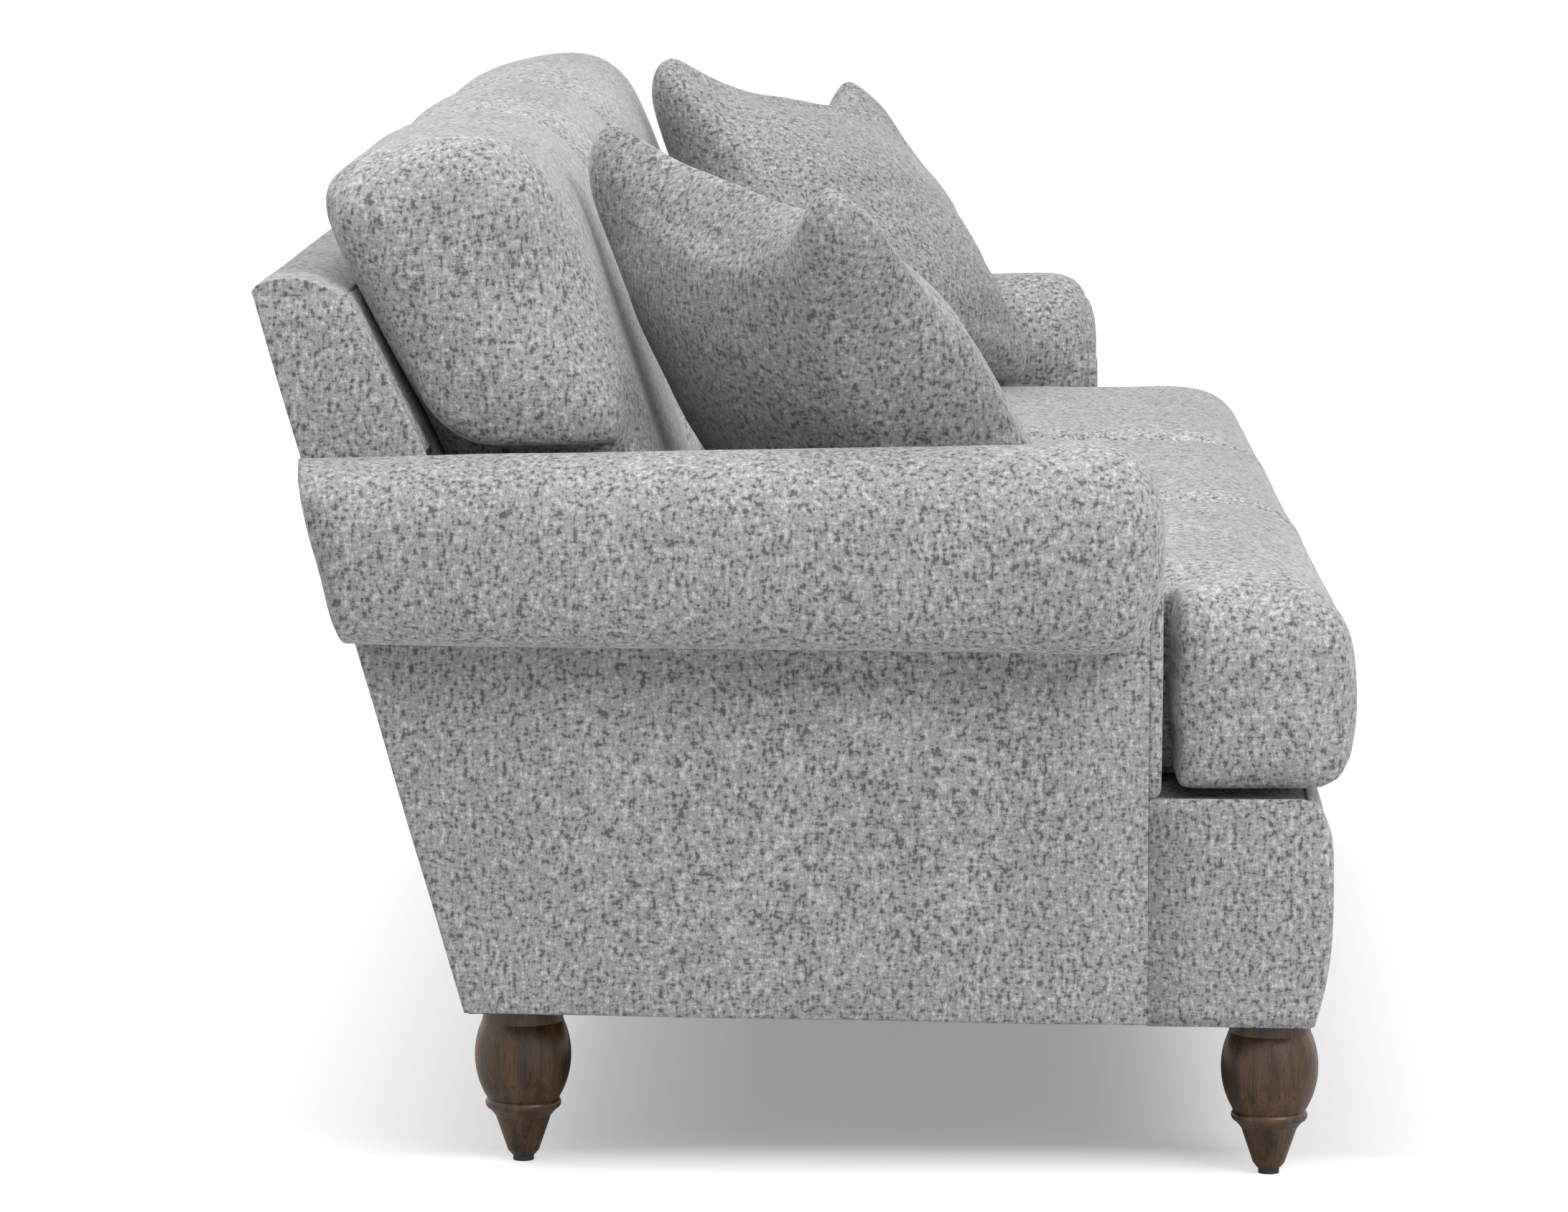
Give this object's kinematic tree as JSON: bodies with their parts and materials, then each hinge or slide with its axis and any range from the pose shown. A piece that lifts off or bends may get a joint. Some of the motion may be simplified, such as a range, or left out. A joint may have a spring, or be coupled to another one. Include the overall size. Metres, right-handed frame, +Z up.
{
  "type": "english roll arm sofa",
  "caption": "Upholstered sofa with low rolled arms, T-shaped loose seat cushions, loose back cushions, throw pillows and turned wooden legs.",
  "frame": {"origin": "on the floor under the middle of the sofa's overall box", "axes": "+Z up, +X to the right of someone who looks at its front, and the front faces -Y"},
  "size_m": [2.205, 0.981, 0.9301],
  "materials": {
    "tweed": "matte",
    "leg_wood": "satin",
    "support_wood": "matte",
    "frame_timber": "matte",
    "foam": "matte",
    "deck_cloth": "matte",
    "lining": "matte",
    "webbing": "matte",
    "spring_steel": "satin",
    "plated_steel": "satin",
    "glide_plastic": "matte"
  },
  "bodies": {
    "sofa_frame": {"seat_rail_front": "frame_timber", "seat_rail_rear": "frame_timber", "seat_rail_left": "frame_timber", "seat_rail_right": "frame_timber", "cross_rails": "frame_timber", "corner_blocks": "frame_timber", "back_post_left": "frame_timber", "back_post_right": "frame_timber", "back_ribs": "frame_timber", "back_top_rail": "frame_timber", "back_lower_rails": "frame_timber", "arm_post_left": "frame_timber", "arm_post_right": "frame_timber", "arm_top_rail_left": "frame_timber", "arm_top_rail_right": "frame_timber", "leg_front_left": "leg_wood", "leg_front_right": "leg_wood", "leg_rear_left": "leg_wood", "leg_rear_right": "leg_wood", "centre_support_leg": "support_wood", "front_border": "tweed", "outside_arm_cover_left": "tweed", "outside_arm_cover_right": "tweed", "arm_roll_cover_left": "tweed", "arm_roll_cover_right": "tweed", "arm_facing_left": "tweed", "arm_facing_right": "tweed", "inside_arm_pad_left": "tweed", "inside_arm_pad_right": "tweed", "outside_back_cover": "tweed", "inside_back_pad": "tweed", "back_top_cover": "tweed", "back_end_cover_left": "tweed", "back_end_cover_right": "tweed", "arm_roll_core_left": "foam", "arm_roll_core_right": "foam", "seat_deck_pad": "foam", "seat_deck_cloth": "deck_cloth", "dust_cover": "lining", "back_webbing": "webbing", "seat_springs": "spring_steel", "spring_clips": "spring_steel", "leg_plates": "plated_steel", "leg_bolts": "plated_steel", "foot_glides": "glide_plastic"},
    "seat_cushion_left": {"seat_cushion_left": "tweed", "seat_foam_left": "foam"},
    "back_cushion_left": {"back_cushion_left": "tweed", "back_filling_left": "foam"},
    "seat_cushion_centre": {"seat_cushion_centre": "tweed", "seat_foam_centre": "foam"},
    "back_cushion_centre": {"back_cushion_centre": "tweed", "back_filling_centre": "foam"},
    "seat_cushion_right": {"seat_cushion_right": "tweed", "seat_foam_right": "foam"},
    "back_cushion_right": {"back_cushion_right": "tweed", "back_filling_right": "foam"},
    "pillow_left": {"pillow_left": "tweed"},
    "pillow_right": {"pillow_right": "tweed"}
  },
  "joints": [
    {"name": "seat_cushion_left_slide", "type": "slide", "parent": "sofa_frame", "child": "seat_cushion_left", "axis": [0, -1, 0], "range_m": [0, 0.75]},
    {"name": "seat_cushion_centre_slide", "type": "slide", "parent": "sofa_frame", "child": "seat_cushion_centre", "axis": [0, -1, 0], "range_m": [0, 0.75]},
    {"name": "seat_cushion_right_slide", "type": "slide", "parent": "sofa_frame", "child": "seat_cushion_right", "axis": [0, -1, 0], "range_m": [0, 0.75]},
    {"name": "back_cushion_left_lift", "type": "slide", "parent": "sofa_frame", "child": "back_cushion_left", "axis": [0, 0.4423, 0.8969], "range_m": [0, 0.45]},
    {"name": "back_cushion_centre_lift", "type": "slide", "parent": "sofa_frame", "child": "back_cushion_centre", "axis": [0, 0.4423, 0.8969], "range_m": [0, 0.45]},
    {"name": "back_cushion_right_lift", "type": "slide", "parent": "sofa_frame", "child": "back_cushion_right", "axis": [0, 0.4423, 0.8969], "range_m": [0, 0.45]},
    {"name": "pillow_left_lift", "type": "slide", "parent": "sofa_frame", "child": "pillow_left", "axis": [0, 0, 1], "range_m": [0, 0.42]},
    {"name": "pillow_right_lift", "type": "slide", "parent": "sofa_frame", "child": "pillow_right", "axis": [0, 0, 1], "range_m": [0, 0.42]}
  ]
}
